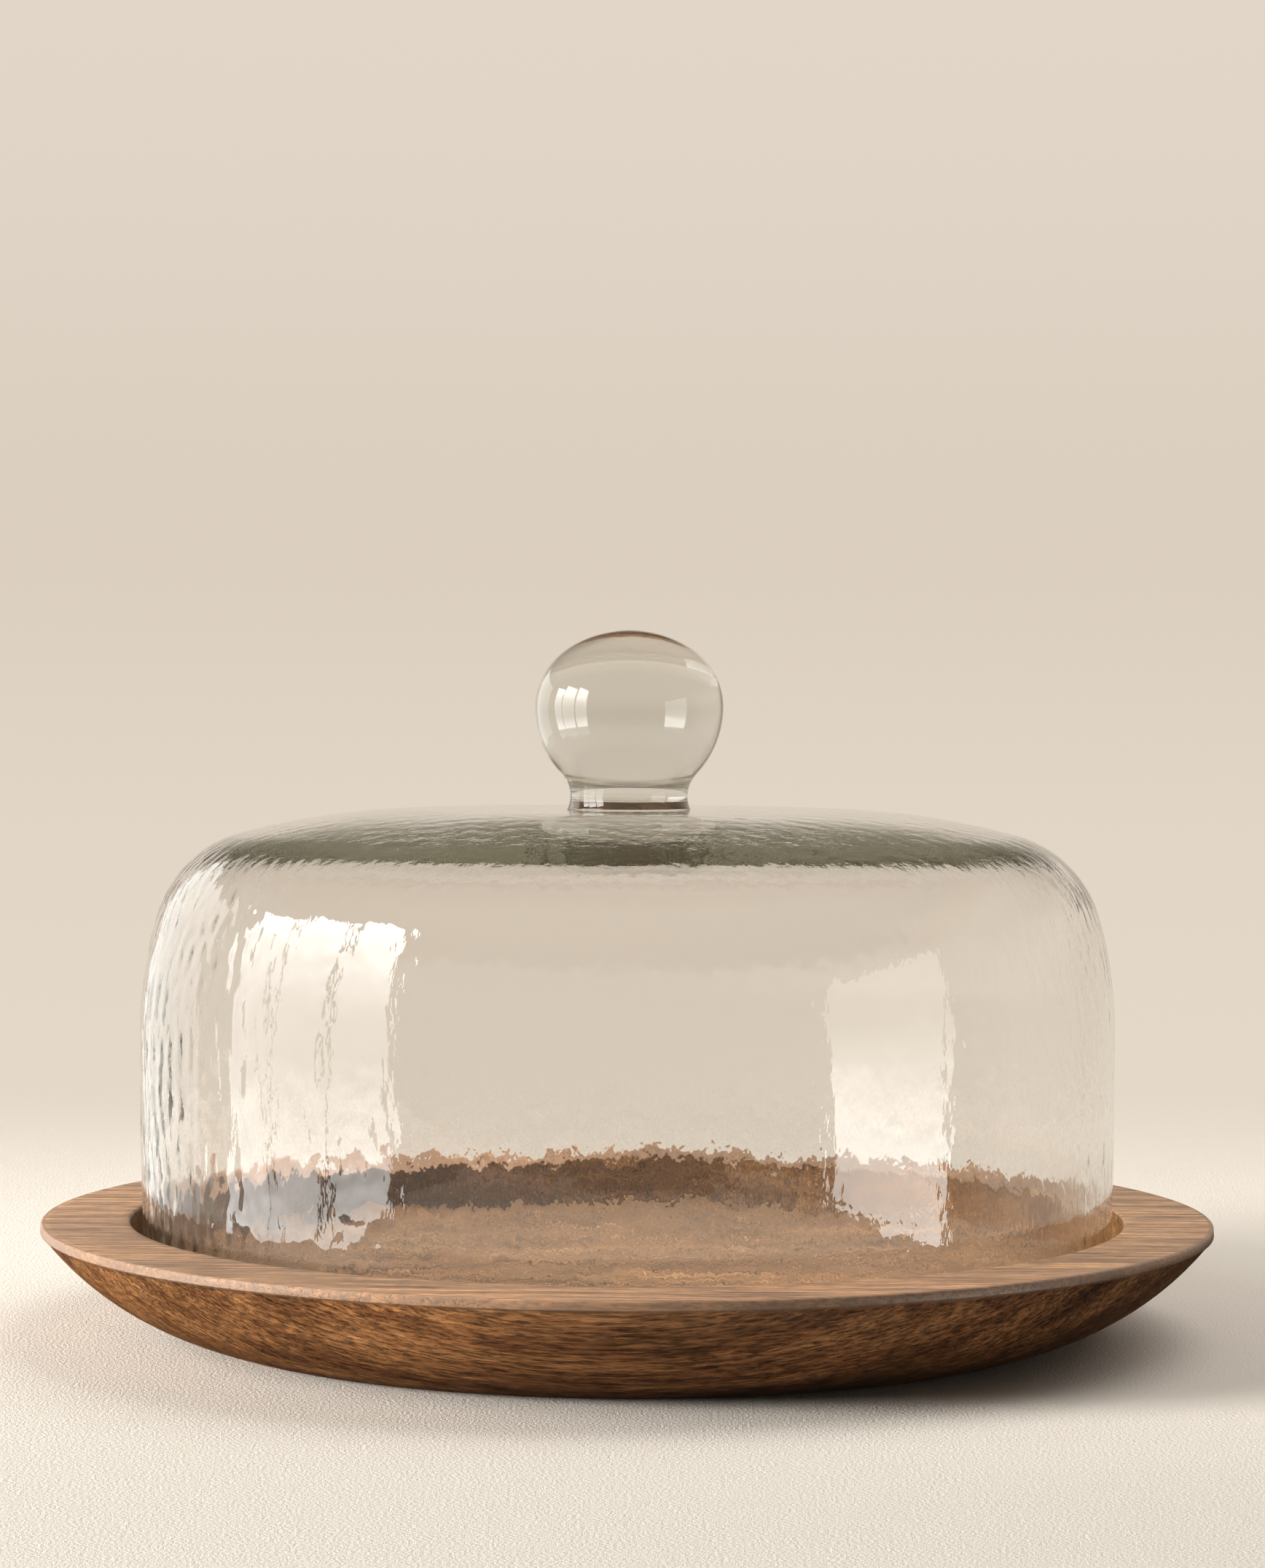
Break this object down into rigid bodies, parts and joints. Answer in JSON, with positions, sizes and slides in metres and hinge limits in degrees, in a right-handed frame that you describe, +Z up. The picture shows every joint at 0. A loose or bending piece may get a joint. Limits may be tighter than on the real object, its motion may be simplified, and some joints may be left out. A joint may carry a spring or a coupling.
{
  "type": "cheese dome",
  "caption": "Clear blown-glass dome with a ball knob, standing in a recessed round wooden serving board.",
  "frame": {"origin": "centre of the flat foot under the board, on the table plane", "axes": "+Z up through the middle of the board, bell and knob; the wood's grain runs along X"},
  "size_m": [0.3, 0.3, 0.1795],
  "materials": {
    "board_wood": "dark brown hardwood, oiled, fine open grain along X",
    "bell_glass": "clear hand-blown glass, slightly wavy, faint green-grey tint",
    "knob_glass": "clear solid glass, polished"
  },
  "bodies": {
    "board": {"wooden_base": "board_wood"},
    "dome": {"glass_bell": "bell_glass", "glass_knob": "knob_glass"}
  },
  "joints": [
    {"name": "dome_lift", "type": "slide", "parent": "board", "child": "dome", "axis": [0, 0, 1], "range_m": [0, 0.2]}
  ]
}
